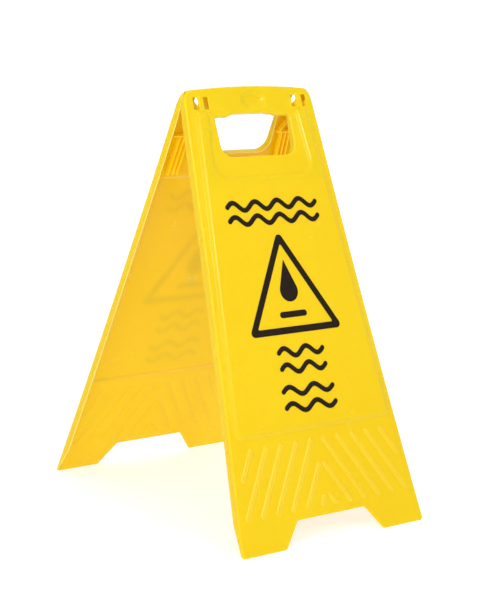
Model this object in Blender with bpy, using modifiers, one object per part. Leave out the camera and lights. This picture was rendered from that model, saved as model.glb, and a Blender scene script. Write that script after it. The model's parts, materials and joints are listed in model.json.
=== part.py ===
"""Folding A-frame floor sign: two alike moulded panels hooked together along their top.

Metres, +Z up, origin on the floor midway between the feet. Each moulding is drawn in its own
frame, with its origin on the hinge axis: +X across, -Y out of the printed face and +Z up the
slope. An empty for each panel stands that frame on the hinge axis and leans it out; the rear
panel is the front one turned half round.
"""

import math

import bmesh
import bpy
from mathutils import Matrix, Vector

SIGN_NAME = "wet_floor_sign"

# Driving dimensions
LEAN = math.radians(21.4)  # each panel from the vertical, when the sign stands open
PANEL_LENGTH = 0.595  # hinge axis to the foot's outer edge, down the slope
HALF_WIDTH_TOP = 0.1094  # at the hinge axis
HALF_WIDTH_FOOT = 0.1565
SIDE_SAG = 0.0026  # how far the sides curve in from straight, at mid height
WALL = 0.0020
FLANGE_DEPTH = 0.0131  # inner edge of the side flange to the outside of the face
GAP = 0.0003  # between pieces that touch

# Top edge and hand opening
CROWN_DROP = 0.0046  # fall of the top edge from the middle to the corners
CORNER_START = 0.0985  # half width where the top edge turns into the side
CORNER_END = -0.004  # depth below the axis where that turn ends
CORNER_KNEE = (-0.002, 0.001)  # the turn's control point, from where its two straight lines cross
OPENING_BOTTOM = 0.0695
OPENING_HALF_TOP = 0.0640
OPENING_HALF_BOTTOM = 0.0622
OPENING_RADIUS = 0.018
RIM_INNER = 0.0025  # inner edge of the rim wall, out from the hinge plane

# Feet
NOTCH_HALF_FOOT = 0.0838
NOTCH_HALF_TOP = 0.0575
NOTCH_HEIGHT = 0.0345
FOOT_RADIUS = 0.005
NOTCH_RADIUS = 0.0075  # inner corner of each foot
FLANGE_TAPER = 0.045  # length of foot over which the flange runs out

# Raised field that carries the print, with an arm up each side of the opening
FIELD_RISE = 0.0028
SHOULDER = 0.008  # width of the slope up to the field
FIELD_TOP = 0.0055
FIELD_BOTTOM = 0.446
FIELD_MARGIN_TOP = 0.0135
FIELD_MARGIN_BOTTOM = 0.0083
FIELD_RADIUS = 0.009
ARM_RADIUS = 0.0085
RECESS_HALF_TOP = 0.0720
RECESS_HALF_BOTTOM = 0.0810
RECESS_BOTTOM = 0.096
RECESS_RADIUS = 0.020

# Chevron ribs on the face below the field
CHEVRON_APEX = 0.4855  # where the middle chevron's two arms would meet
CHEVRON_PITCH = 0.0426
CHEVRON_SLOPE = 0.59  # across per unit down
CHEVRON_COUNTS = range(-5, 2)
CHEVRON_TOP = 0.4570
CHEVRON_BOTTOM = 0.5500
CHEVRON_HALF_WIDTH = 0.0045
CHEVRON_RISE = 0.0009
CHEVRON_SIDE_MARGIN = 0.013
CHEVRON_GAP = 0.0055  # down from the apex to the start of each arm
CHEVRON_STEP = 0.001  # an arm is shortened by this until it clears the side

# Handle: the bar's section from the top edge down to the end of its lower lip, as (part of the
# way down, how far back from the face), and the thumb hollow
BAR_SECTION = (
    (0.00, 0.0),
    (0.25, 0.0),
    (0.50, 0.0),
    (0.72, 0.0),
    (0.92, 0.0),
    (0.98, 0.0006),
    (1.00, 0.0022),
    (1.00, 0.0080),
)
BAR_FOOT = 0.0134
BAR_ARCH = 0.0038  # how much shallower the bar is in its middle
BAR_ARCH_START = 0.028  # half widths between which the arch rises
BAR_ARCH_END = 0.044
BAR_STATIONS = 20
HOLLOW_DEPTH = 0.0025
HOLLOW_HALF_WIDTH = 0.023
HOLLOW_HALF_HEIGHT = 0.0142
HOLLOW_ACROSS = 0.005
HOLLOW_DOWN = -0.0086
HOLLOW_WALL = 0.50  # part of the way in over which the hollow deepens

# Hinge
PIN_RADIUS = 0.0025
PIN_START = 0.0700
PIN_END = 0.1045
KNUCKLE_RADIUS = 0.0052
HOOKS = {"inner": -0.0738, "outer": -0.0903}
LUGS = {"inner": 0.0835, "outer": 0.101}
HOOK_WIDTH = 0.0066
HOOK_START = 90  # degrees round the pin, where the hook's shank meets its curl
HOOK_END = 300
HOOK_STEPS = 12
LUG_WIDTH = 0.0056
LUG_START = 75  # degrees round the pin, where the lug's flare meets its round end
LUG_END = 285
LUG_STEPS = 12
LUG_FLARE = 0.002  # how much wider the lug is at the face
PIN_SIDES = 20

# Slots over the hinge, as (middle, width)
SLOTS = ((-0.0903, 0.0084), (-0.0736, 0.0075), (0.0765, 0.0086), (0.0940, 0.0070))
SLOT_TOP = -0.0143
SLOT_BOTTOM = 0.0024

# Stiffening ribs inside, beside the opening: (start, end, how much deeper than the flat face)
RIB_WALL = 0.0016
RIB_INNER = 0.003
RIB_LINES = (
    ((0.0715, 0.0405), (0.1045, 0.0405), 0.0),
    ((0.0845, 0.0405), (0.0892, 0.0405), 0.0024),
    ((0.0745, 0.0412), (0.0925, 0.0120), 0.0),
    ((0.0798, 0.0400), (0.0842, 0.0990), 0.0006),
    ((0.0868, 0.0400), (0.0912, 0.0990), 0.0024),
    ((0.0938, 0.0400), (0.0990, 0.0990), 0.0005),
)

# How finely curves are drawn
SIDE_STEPS = 10
ARC_STEPS = 4

# The block that trims the feet level with the floor
FLOOR_WIDTH = 1.0
FLOOR_DEPTH = 0.1

YELLOW = (0.93, 0.66, 0.02)
DEEP_YELLOW = (0.90, 0.58, 0.015)

HINGE_HEIGHT = PANEL_LENGTH * math.cos(LEAN) - FLANGE_DEPTH * math.sin(LEAN)
# The crowns' inner edges meet, less the gap, when the panels have swung out by LEAN.
CROWN_RISE = ((FLANGE_DEPTH - WALL) * math.cos(LEAN) - GAP / 2) / math.sin(LEAN)
FACE_BACK = FLANGE_DEPTH - WALL


def smooth(t):
    t = min(1.0, max(0.0, t))
    return t * t * (3 - 2 * t)


def at(across, down, out):
    """A point of a moulding: across, down the slope from the hinge axis, out from the hinge plane."""
    return Vector((across, -out, -down))


def half_width(down):
    part = down / PANEL_LENGTH
    straight = HALF_WIDTH_TOP + (HALF_WIDTH_FOOT - HALF_WIDTH_TOP) * part
    return straight - 4 * SIDE_SAG * part * (1 - part)


def top_edge(across):
    return -CROWN_RISE + CROWN_DROP * (across / CORNER_START) ** 2


def flange_edge(down):
    """How far out the flange's inner edge is: cut away above the axis and at the foot."""
    if down < 0:
        return -down * math.tan(LEAN) + GAP / (2 * math.cos(LEAN))
    taper = max(0.0, down - (PANEL_LENGTH - FLANGE_TAPER)) / FLANGE_TAPER
    return GAP / 2 + taper * (FACE_BACK - GAP)


def bar_foot(across):
    """The bar's lower edge, a shallow arch."""
    rise = (BAR_ARCH_END - abs(across)) / (BAR_ARCH_END - BAR_ARCH_START)
    return BAR_FOOT - BAR_ARCH * smooth(rise)


def new_material(name, colour, roughness):
    material = bpy.data.materials.new(name)
    material.use_nodes = True
    shader = material.node_tree.nodes["Principled BSDF"]
    shader.inputs["Base Color"].default_value = (*colour, 1.0)
    shader.inputs["Roughness"].default_value = roughness
    shader.inputs["Metallic"].default_value = 0.0
    material.diffuse_color = (*colour, 1.0)
    return material


def new_collection(name):
    collection = bpy.data.collections.new(name)
    bpy.context.scene.collection.children.link(collection)
    return collection


def clear_scene():
    for obj in list(bpy.data.objects):
        bpy.data.objects.remove(obj)


def place(name, data, parent, material):
    obj = bpy.data.objects.new(name, data)
    parent.users_collection[0].objects.link(obj)
    obj.parent = parent
    data.materials.append(material)
    return obj


def move_to(obj, collection):
    for old in list(obj.users_collection):
        old.objects.unlink(obj)
    collection.objects.link(obj)


def adopt(obj, name, parent, material):
    """Name the object that an operator has just added, and hang it on parent."""
    obj.name = name
    move_to(obj, parent.users_collection[0])
    obj.parent = parent
    obj.data.materials.append(material)
    return obj


def hide_cutter(obj, cutters):
    move_to(obj, cutters)
    obj.hide_render = True
    obj.display_type = "WIRE"


def offset_corners(corners, distance):
    """The closed outline of (across, down, radius) corners, moved in by distance."""
    moved = []
    for i, (across, down, radius) in enumerate(corners):
        here = Vector((across, down))
        come = (here - Vector(corners[i - 1][:2])).normalized()
        go = (Vector(corners[(i + 1) % len(corners)][:2]) - here).normalized()
        convex = come.cross(go) > 0
        bisector = (go - come).normalized()
        reach = distance / math.sqrt((1 + come.dot(go)) / 2)
        corner = here + bisector * (reach if convex else -reach)
        turned = radius - distance if convex else radius + distance
        moved.append((corner.x, corner.y, turned))
    return moved


def rounded(corners, steps=ARC_STEPS):
    """Points of a closed outline whose (across, down, radius) corners are rounded by arcs."""
    points = []
    for i, (across, down, radius) in enumerate(corners):
        here = Vector((across, down))
        to_before = (Vector(corners[i - 1][:2]) - here).normalized()
        to_after = (Vector(corners[(i + 1) % len(corners)][:2]) - here).normalized()
        if radius <= 0:
            points.append(here)
            continue
        half = to_before.angle(to_after) / 2
        tangent = radius / math.tan(half)
        centre = here + (to_before + to_after).normalized() * radius / math.sin(half)
        start = here + to_before * tangent - centre
        end = here + to_after * tangent - centre
        sweep = start.angle_signed(end)
        for step in range(steps + 1):
            points.append(centre + Matrix.Rotation(-sweep * step / steps, 2) @ start)
    return points


def mirrored(half):
    """A closed outline from its right half."""
    return half + [(-across, down, *rest) for across, down, *rest in reversed(half)]


def side_run():
    """The right side from the top corner's turn to the start of the foot's corner."""
    top = Vector((CORNER_START, top_edge(CORNER_START)))
    end = Vector((half_width(CORNER_END), CORNER_END))
    corner = Vector((end.x, top.y)) + Vector(CORNER_KNEE)
    run = []
    for step in range(ARC_STEPS):
        t = step / ARC_STEPS
        run.append(top * (1 - t) ** 2 + corner * 2 * t * (1 - t) + end * t**2)
    last = PANEL_LENGTH - FOOT_RADIUS
    for step in range(SIDE_STEPS + 1):
        down = CORNER_END + (last - CORNER_END) * step / SIDE_STEPS
        run.append(Vector((half_width(down), down)))
    taper_start = PANEL_LENGTH - FLANGE_TAPER
    run.insert(-1, Vector((half_width(taper_start), taper_start)))
    return run


def opening_run():
    """The opening's right edge, from the end of its flat bottom up to the handle's lower edge."""
    corners = [
        (0.0, OPENING_BOTTOM, 0.0),
        (OPENING_HALF_BOTTOM, OPENING_BOTTOM, OPENING_RADIUS),
        (OPENING_HALF_TOP, BAR_FOOT, 0.0),
    ]
    return rounded(corners)[1:]


def foot_run():
    """From the foot's outer corner to the top of the notch."""
    corners = [
        (half_width(PANEL_LENGTH), PANEL_LENGTH, FOOT_RADIUS),
        (NOTCH_HALF_FOOT, PANEL_LENGTH, NOTCH_RADIUS),
        (NOTCH_HALF_TOP, PANEL_LENGTH - NOTCH_HEIGHT, FOOT_RADIUS),
        (0.0, PANEL_LENGTH - NOTCH_HEIGHT, 0.0),
        (0.0, 0.0, 0.0),
        (half_width(0), 0.0, 0.0),
    ]
    return rounded(corners)[1:-3]


def field_corners():
    """The raised field's outline, with an arm up each side of the opening's recess."""
    half = [
        (RECESS_HALF_BOTTOM, RECESS_BOTTOM, RECESS_RADIUS),
        (RECESS_HALF_TOP, FIELD_TOP, ARM_RADIUS),
        (half_width(FIELD_TOP) - FIELD_MARGIN_TOP, FIELD_TOP, ARM_RADIUS),
        (half_width(FIELD_BOTTOM) - FIELD_MARGIN_BOTTOM, FIELD_BOTTOM, FIELD_RADIUS),
    ]
    return mirrored(half)


def slot_outlines():
    outlines = []
    for across, width in SLOTS:
        left, right = across - width / 2, across + width / 2
        upper = [(left, SLOT_TOP), (right, SLOT_TOP)]
        lower = [(right, SLOT_BOTTOM), (left, SLOT_BOTTOM)]
        outlines.append(upper + lower)
    return outlines


def chevron_arms():
    """Start and end of each chevron arm, on the right side and on the left."""
    arms = []
    for count in CHEVRON_COUNTS:
        apex = CHEVRON_APEX + count * CHEVRON_PITCH
        start = max(apex + CHEVRON_GAP, CHEVRON_TOP)
        end = CHEVRON_BOTTOM
        while CHEVRON_SLOPE * (end - apex) > half_width(end) - CHEVRON_SIDE_MARGIN:
            end -= CHEVRON_STEP
        for side in (CHEVRON_SLOPE, -CHEVRON_SLOPE):
            arms.append([Vector((side * (down - apex), down)) for down in (start, end)])
    return arms


def add_loop(bm, points, out):
    """Vertices and the closed ring of edges through (across, down) points, all as far out."""
    verts = [bm.verts.new(at(point[0], point[1], out)) for point in points]
    edges = [bm.edges.new((verts[i - 1], verts[i])) for i in range(len(verts))]
    return verts, edges


def add_chevron(bm, start, end):
    """One raised chevron arm, a ring on the face and a ridge along it. Returns the ring's edges."""
    along = (end - start).normalized()
    side = Vector((-along.y, along.x)) * CHEVRON_HALF_WIDTH
    inset = along * CHEVRON_HALF_WIDTH
    near, far = start + inset, end - inset
    ring_points = [start, near + side, far + side, end, far - side, near - side]
    ring, edges = add_loop(bm, ring_points, FLANGE_DEPTH)
    ridge_out = FLANGE_DEPTH + CHEVRON_RISE
    first, last = (bm.verts.new(at(*point, ridge_out)) for point in (near, far))
    bm.faces.new((ring[0], ring[1], first))
    bm.faces.new((ring[1], ring[2], last, first))
    bm.faces.new((ring[2], ring[3], last))
    bm.faces.new((ring[3], ring[4], last))
    bm.faces.new((ring[4], ring[5], first, last))
    bm.faces.new((ring[5], ring[0], first))
    return edges


def add_wall(bm, verts, inner_edges):
    """A wall that runs back from a row of face vertices, each to its own inner edge."""
    back = [bm.verts.new(at(vert.co.x, -vert.co.z, out)) for vert, out in zip(verts, inner_edges)]
    for i in range(len(verts) - 1):
        bm.faces.new((verts[i], verts[i + 1], back[i + 1], back[i]))


def orient_outward(bm):
    bmesh.ops.recalc_face_normals(bm, faces=bm.faces)
    if sum(face.normal.y * face.calc_area() for face in bm.faces) > 0:
        bmesh.ops.reverse_faces(bm, faces=bm.faces)


def add_field(bm):
    """The raised field and the slope round it. Returns the edges where the slope meets the face."""
    corners = field_corners()
    outer, outer_edges = add_loop(bm, rounded(corners), FLANGE_DEPTH)
    top = rounded(offset_corners(corners, SHOULDER))
    inner, inner_edges = add_loop(bm, top, FLANGE_DEPTH + FIELD_RISE)
    for i in range(len(outer)):
        bm.faces.new((outer[i - 1], outer[i], inner[i], inner[i - 1]))
    bmesh.ops.triangle_fill(bm, edges=inner_edges, normal=(0, -1, 0), use_beauty=True)
    return outer_edges


def panel_mesh():
    """The outer surface of a panel: the face, its field, slots and chevrons, and its walls."""
    opening, side, foot = opening_run(), side_run(), foot_run()
    joint = Vector((OPENING_HALF_TOP, top_edge(OPENING_HALF_TOP)))
    half = [tuple(point) for point in (*opening, joint, *side, *foot)]
    bm = bmesh.new()
    ring, edges = add_loop(bm, mirrored(half), FLANGE_DEPTH)
    loops = [edges]
    loops += [add_loop(bm, slot, FLANGE_DEPTH)[1] for slot in slot_outlines()]
    loops += [add_chevron(bm, *arm) for arm in chevron_arms()]
    loops.append(add_field(bm))
    face_edges = [edge for loop in loops for edge in loop]
    bmesh.ops.triangle_fill(bm, edges=face_edges, normal=(0, -1, 0), use_beauty=True)

    side_start = len(opening) + 1
    for verts in (ring, ring[::-1]):
        flange = verts[side_start : side_start + len(side)]
        add_wall(bm, flange, [flange_edge(-vert.co.z) for vert in flange])
    rim = ring[-len(opening) :] + ring[: len(opening)]
    add_wall(bm, rim, [RIM_INNER] * len(rim))
    orient_outward(bm)
    mesh = bpy.data.meshes.new("panel")
    bm.to_mesh(mesh)
    bm.free()
    return mesh


def hollow_depth(across, down):
    across_part = (across - HOLLOW_ACROSS) / HOLLOW_HALF_WIDTH
    down_part = (down - HOLLOW_DOWN) / HOLLOW_HALF_HEIGHT
    return HOLLOW_DEPTH * smooth((1 - math.hypot(across_part, down_part)) / HOLLOW_WALL)


def handle_mesh():
    """The outer surface of the grip bar, crowned along its top and with a lip turned in along its foot."""
    half = OPENING_HALF_TOP - GAP
    bm = bmesh.new()
    rows = []
    for station in range(BAR_STATIONS + 1):
        across = -half + 2 * half * station / BAR_STATIONS
        top = top_edge(across)
        row = []
        for part, back in BAR_SECTION:
            down = top + (bar_foot(across) - top) * part
            out = FLANGE_DEPTH - back - hollow_depth(across, down)
            row.append(bm.verts.new(at(across, down, out)))
        rows.append(row)
    for before, after in zip(rows, rows[1:]):
        for i in range(len(BAR_SECTION) - 1):
            bm.faces.new((before[i], before[i + 1], after[i + 1], after[i]))
    orient_outward(bm)
    mesh = bpy.data.meshes.new("handle")
    bm.to_mesh(mesh)
    bm.free()
    return mesh


def shell(obj):
    """Give an outer surface its wall."""
    modifier = obj.modifiers.new("wall", "SOLIDIFY")
    modifier.thickness = WALL
    modifier.offset = -1
    modifier.use_even_offset = True
    modifier.use_quality_normals = True


def cut(obj, cutter):
    modifier = obj.modifiers.new("cut_" + cutter.name, "BOOLEAN")
    modifier.operation = "DIFFERENCE"
    modifier.object = cutter


def floor_cutter(cutters):
    """Everything below the floor, so that the feet end in level faces."""
    bpy.ops.mesh.primitive_cube_add(size=1.0, location=(0, 0, -FLOOR_DEPTH / 2))
    box = bpy.context.object
    box.name = "floor_cutter"
    box.data.transform(Matrix.Diagonal((FLOOR_WIDTH, FLOOR_WIDTH, FLOOR_DEPTH, 1.0)))
    hide_cutter(box, cutters)
    return box


def section_object(name, outlines, width, across, parent, material):
    """A piece whose section, (out, down) outlines, is the same across its width."""
    curve = bpy.data.curves.new(name, "CURVE")
    curve.dimensions = "2D"
    curve.fill_mode = "BOTH"
    curve.extrude = width / 2
    for outline in outlines:
        spline = curve.splines.new("POLY")
        spline.points.add(len(outline) - 1)
        for point, (out, down) in zip(spline.points, outline):
            point.co = (-out, -down, 0, 1)
        spline.use_cyclic_u = True
    obj = place(name, curve, parent, material)
    # The curve's own x and y become the moulding's y and z, and its extrusion runs across.
    turn = Matrix(((0, 0, 1), (1, 0, 0), (0, 1, 0))).to_4x4()
    obj.matrix_local = Matrix.Translation((across, 0, 0)) @ turn
    return obj


def arc_points(radius, start, end, steps):
    """(out, down) points on a circle about the pin, between two angles in degrees."""
    points = []
    for step in range(steps + 1):
        angle = math.radians(start + (end - start) * step / steps)
        points.append(Vector((math.cos(angle), math.sin(angle))) * radius)
    return points


def hook_outline():
    """A J: from the face straight in under the pin and round its far side, open at the top."""
    root = FACE_BACK - GAP
    bore = PIN_RADIUS + GAP
    outer = arc_points(KNUCKLE_RADIUS, HOOK_START, HOOK_END, HOOK_STEPS)
    inner = arc_points(bore, HOOK_START, HOOK_END, HOOK_STEPS)
    return [(root, KNUCKLE_RADIUS), *outer, *reversed(inner), (root, bore)]


def lug_outline():
    """A teardrop: round about the pin and flared onto the back of the face."""
    root = FACE_BACK - GAP
    flare = KNUCKLE_RADIUS + LUG_FLARE
    end = arc_points(KNUCKLE_RADIUS, LUG_START, LUG_END, LUG_STEPS)
    return [(root, flare), *end, (root, -flare)]


def add_pin(name, parent, material):
    length = PIN_END - PIN_START
    bpy.ops.mesh.primitive_cylinder_add(vertices=PIN_SIDES, radius=PIN_RADIUS, depth=length)
    pin = adopt(bpy.context.object, name, parent, material)
    pin.data.transform(Matrix.Rotation(math.pi / 2, 4, "Y"))
    pin.location = ((PIN_START + PIN_END) / 2, 0, 0)
    pin.data.shade_smooth()
    pin.data.set_sharp_from_angle(angle=math.radians(40))
    return pin


def rib_box(name, line, side, parent, material):
    """One upright rib along a line of RIB_LINES, on the side given by its sign."""
    start, end, extra = line
    first, last = Vector((side * start[0], start[1])), Vector((side * end[0], end[1]))
    middle = (first + last) / 2
    along = last - first
    depth = FACE_BACK + extra - GAP - RIB_INNER
    bpy.ops.mesh.primitive_cube_add(size=1.0)
    rib = adopt(bpy.context.object, name, parent, material)
    rib.data.transform(Matrix.Diagonal((along.length, depth, RIB_WALL, 1.0)))
    rib.data.transform(Matrix.Rotation(math.atan2(along.y, along.x), 4, "Y"))
    rib.location = at(middle.x, middle.y, RIB_INNER + depth / 2)
    return rib


def add_ribs(name, side, parent, material, cutters):
    """The stiffening ribs on one side of the opening, joined into one piece."""
    boxes = []
    for i, line in enumerate(RIB_LINES):
        boxes.append(rib_box(f"{name}_{i}", line, side, parent, material))
    main = boxes[0]
    main.name = name
    for box in boxes[1:]:
        modifier = main.modifiers.new("join_" + box.name, "BOOLEAN")
        modifier.operation = "UNION"
        modifier.object = box
        hide_cutter(box, cutters)
    return main


def add_moulding(panel, matrix, parts, floor, cutters, materials):
    """One panel with its handle, hinge hooks, lugs, pin and ribs, all on the empty that leans it."""
    lean = bpy.data.objects.new(panel + "_lean", None)
    parts.objects.link(lean)
    lean.matrix_world = matrix
    face = place(panel + "_panel", panel_mesh(), lean, materials["panel"])
    shell(face)
    cut(face, floor)
    handle = place(panel + "_handle", handle_mesh(), lean, materials["handle"])
    shell(handle)
    for which, across in HOOKS.items():
        name = f"{panel}_{which}_hinge_hook"
        section_object(name, [hook_outline()], HOOK_WIDTH, across, lean, materials["hinge"])
    for which, across in LUGS.items():
        name = f"{panel}_{which}_hinge_lug"
        bore = arc_points(PIN_RADIUS + GAP, 0, 360, PIN_SIDES)[1:]
        outlines = [lug_outline(), bore]
        section_object(name, outlines, LUG_WIDTH, across, lean, materials["hinge"])
    add_pin(panel + "_hinge_pin", lean, materials["pin"])
    for side_name, side in (("left", -1), ("right", 1)):
        name = f"{panel}_{side_name}_stiffening_ribs"
        add_ribs(name, side, lean, materials["ribs"], cutters)


def main():
    clear_scene()
    parts = new_collection(SIGN_NAME)
    cutters = new_collection(SIGN_NAME + "_cutters")
    materials = {
        "panel": new_material("panel_plastic", YELLOW, 0.28),
        "handle": new_material("handle_plastic", YELLOW, 0.30),
        "hinge": new_material("hinge_plastic", DEEP_YELLOW, 0.35),
        "pin": new_material("pin_plastic", DEEP_YELLOW, 0.30),
        "ribs": new_material("rib_plastic", DEEP_YELLOW, 0.35),
    }
    floor = floor_cutter(cutters)
    axis = Matrix.Translation((0, 0, HINGE_HEIGHT))
    front = axis @ Matrix.Rotation(-LEAN, 4, "X")
    rear = axis @ Matrix.Rotation(LEAN, 4, "X") @ Matrix.Rotation(math.pi, 4, "Z")
    add_moulding("front", front, parts, floor, cutters, materials)
    add_moulding("rear", rear, parts, floor, cutters, materials)


main()
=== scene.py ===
"""Looks of the folding A-frame floor sign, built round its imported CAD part.

Each panel with its handle is one seamless moulding, drawn in its own frame with the origin on the hinge axis:
+X across, -Y out of the printed face and +Z up the slope. A point of it is (across, down, out), where down
is measured down the slope from the hinge axis, and out from the plane in which the two panels meet when
folded.
"""

import json
import math

import bmesh
import bpy
from mathutils import Matrix, Vector
from mathutils.geometry import delaunay_2d_cdt


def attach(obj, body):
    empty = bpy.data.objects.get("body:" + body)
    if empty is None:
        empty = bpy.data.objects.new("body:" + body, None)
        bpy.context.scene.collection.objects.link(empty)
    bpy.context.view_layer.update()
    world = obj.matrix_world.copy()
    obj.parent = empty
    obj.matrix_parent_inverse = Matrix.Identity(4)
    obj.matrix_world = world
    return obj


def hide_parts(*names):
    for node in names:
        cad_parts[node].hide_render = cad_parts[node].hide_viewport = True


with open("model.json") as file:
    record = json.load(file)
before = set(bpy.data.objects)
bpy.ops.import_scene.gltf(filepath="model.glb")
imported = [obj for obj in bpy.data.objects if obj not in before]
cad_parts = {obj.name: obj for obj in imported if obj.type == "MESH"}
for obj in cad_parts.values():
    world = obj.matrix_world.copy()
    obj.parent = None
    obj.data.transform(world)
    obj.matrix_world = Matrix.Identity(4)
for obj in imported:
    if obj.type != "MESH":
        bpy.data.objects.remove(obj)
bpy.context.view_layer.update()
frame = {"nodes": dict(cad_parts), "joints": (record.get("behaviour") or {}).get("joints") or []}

# The hinge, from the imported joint: closing takes its whole range, so each panel leans half of it.
FOLD = frame["joints"][0]
HINGE_HEIGHT = FOLD["pos_m"][2]
LEAN = math.radians(FOLD["range_deg"][1]) / 2

# Moulding, in metres
PANEL_LENGTH = 0.595
HALF_WIDTH_TOP = 0.1094
HALF_WIDTH_FOOT = 0.1564
SIDE_SAG = 0.0026
WALL = 0.0020
FLANGE_DEPTH = 0.0131
GAP = 0.0003
FACE_BACK = FLANGE_DEPTH - WALL
CROWN_RISE = ((FLANGE_DEPTH - WALL) * math.cos(LEAN) - GAP / 2) / math.sin(LEAN)
CROWN_DROP = 0.0046
CORNER_START = 0.0985
CORNER_END = -0.004
CORNER_PULL_IN = 0.002
CORNER_PULL_DOWN = 0.001
CORNER_BEND_RATE = 1.6  # how much sooner than the corner's end its flange is square
SIDE_ROLL = 0.0026  # outer radius between the face and the side flange
NOSE = 0.0009  # rounding of a free edge

OPENING_BOTTOM = 0.0695
OPENING_HALF_TOP = 0.0640
OPENING_HALF_BOTTOM = 0.0622
OPENING_RADIUS = 0.018
BAR_FOOT = 0.0134
BAR_ARCH = 0.0038  # how much shallower the bar is in its middle
BAR_ARCH_START = 0.028
BAR_ARCH_END = 0.044
BAR_CORNER = 0.004
LIP_ROLL = 0.0024
RIM_INNER = 0.0025  # how far out the rim wall's inner edge is
BAR_LIP_INNER = 0.0050
RIM_CHANGE_START = 0.018  # where the bar's lip runs down into the rim wall
RIM_CHANGE_RUN = 0.008

NOTCH_HALF_FOOT = 0.0838
NOTCH_HALF_TOP = 0.0575
NOTCH_HEIGHT = 0.0345
FOOT_RADIUS = 0.005
NOTCH_RADIUS = 0.0075
FLANGE_TAPER = 0.045

FIELD_RISE = 0.0028
SHOULDER = 0.008
FIELD_TOP = 0.0055
FIELD_BOTTOM = 0.446
FIELD_MARGIN_TOP = 0.0135
FIELD_MARGIN_BOTTOM = 0.0083
FIELD_RADIUS = 0.0090
ARM_RADIUS = 0.0085
RECESS_HALF_TOP = 0.0720
RECESS_HALF_BOTTOM = 0.0810
RECESS_BOTTOM = 0.096
RECESS_RADIUS = 0.020
NET_PITCH = 0.0035
NET_COLUMNS = 24  # on each side of the middle one
NET_LENGTH = 0.330
MERGE = 1e-7

# The field's inner side is a pocket that starts below the ribs, with a steeper edge than the shoulder
POCKET_TOP = 0.1060
POCKET_EDGE = 0.0040
POCKET_START = 0.55  # part of the way up the shoulder where its side edge starts
POCKET_END = 0.95
POCKET_FLAT = 0.02  # part of its depth that counts as not on its edge
POCKET_PAINTED_LIGHT = 0.24  # painted light: how pale its edge is painted, for the light that comes through it

CHEVRON_APEX = 0.4855
CHEVRON_PITCH = 0.0426
CHEVRON_SLOPE = 0.59
CHEVRON_COUNTS = range(-5, 2)
CHEVRON_TOP = 0.4570
CHEVRON_BOTTOM = 0.5500
CHEVRON_HALF_WIDTH = 0.0045
CHEVRON_RISE = 0.0009
CHEVRON_SIDE_MARGIN = 0.013
CHEVRON_GAP = 0.0048
CHEVRON_FLANK = 0.56  # part of the half width that its flank takes
CHEVRON_TRIM = 0.001

SLOTS = ((-0.0903, 0.0084), (-0.0736, 0.0075), (0.0765, 0.0086), (0.0940, 0.0070))  # middle and width
SLOT_TOP = -0.0143
SLOT_BOTTOM = 0.0024
SLOT_RADIUS = 0.001

HOLLOW_DEPTH = 0.0025
HOLLOW_HALF_WIDTH = 0.023
HOLLOW_HALF_HEIGHT = 0.0142
HOLLOW_ACROSS = 0.005
HOLLOW_DOWN = -0.0086
HOLLOW_WALL = 0.50  # part of the way in over which the hollow deepens

GATE_DOWN = 0.2815
GATE_RADIUS = 0.0040
GATE_TUBE = 0.0007
GATE_SUNK = 0.0002

# How pale an edge and the raised chevrons are, from 0 to 1: wear from handling, with a painted highlight
# along the noses of square walls and a painted sheen on the chevrons
EDGE_WEAR_AND_HIGHLIGHT = 0.75
CHEVRON_WEAR_AND_SHEEN = 0.06

# The print, drawn as outlines of (across, down) on the raised field
WAVE_STROKE = 0.0068
WAVE_HEIGHT = 0.0055  # from the middle line to a crest
RIPPLES = (
    # down, half length, waves
    (0.1385, 0.0750, 4),
    (0.1580, 0.0750, 4),
    (0.3400, 0.0375, 2),
    (0.3620, 0.0375, 2),
    (0.3920, 0.0422, 2),
    (0.4140, 0.0422, 2),
)
TRIANGLE_APEX = 0.1742
TRIANGLE_BASE = 0.3158
TRIANGLE_HALF = 0.0800
TRIANGLE_STROKE = 0.0093
TRIANGLE_RADIUS = 0.0060
DROP_TIP = 0.2150
DROP_CENTRE = 0.2580
DROP_RADIUS = 0.0150
PUDDLE_DOWN = 0.2900
PUDDLE_HALF = 0.0230
PUDDLE_THICKNESS = 0.0085
INK_THICKNESS = 0.0001

# How the print shows through from behind
SHOW_BLUR = 0.0035
SHOW_TOP = 0.11
SHOW_BOTTOM = 0.44
FLAT_TOP = 0.9  # part of the field's rise above which a point is on its flat top

# How finely curves are drawn
ARC_STEPS = 8
SLOT_ARC_STEPS = 4
CROWN_STEPS = 8
ARCH_STEPS = 8
ROLL_STEPS = 5
NOSE_STEPS = 3
SIDE_STEPS = 30
SHOULDER_STEPS = 5
CHEVRON_STEPS = 4
CHEVRON_END_STEPS = 6
HOLLOW_RINGS = 14
HOLLOW_STEPS = 40
GATE_STEPS = 32
GATE_TUBE_STEPS = 10
WAVE_STEPS = 24
CAP_STEPS = 8
DROP_STEPS = 32
PUDDLE_END_STEPS = 10

ABOVE_FLOOR = 1e-6  # what is kept clear below the lowest points

# Colours and looks
YELLOW = (0.738, 0.552, 0.006)
DEEP_YELLOW = (0.728, 0.530, 0.005)
WORN_YELLOW = (0.810, 0.610, 0.030)
LIT_INNER_YELLOW = (0.855, 0.590, 0.003)  # painted light: the inside is paler and more orange, in place of the light carried through the walls
# The pale edge colour: wear, painted highlights on noses and chevrons, and painted light on the pocket's edge
WEAR_AND_LIGHT_YELLOW = (0.950, 0.760, 0.260)
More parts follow.
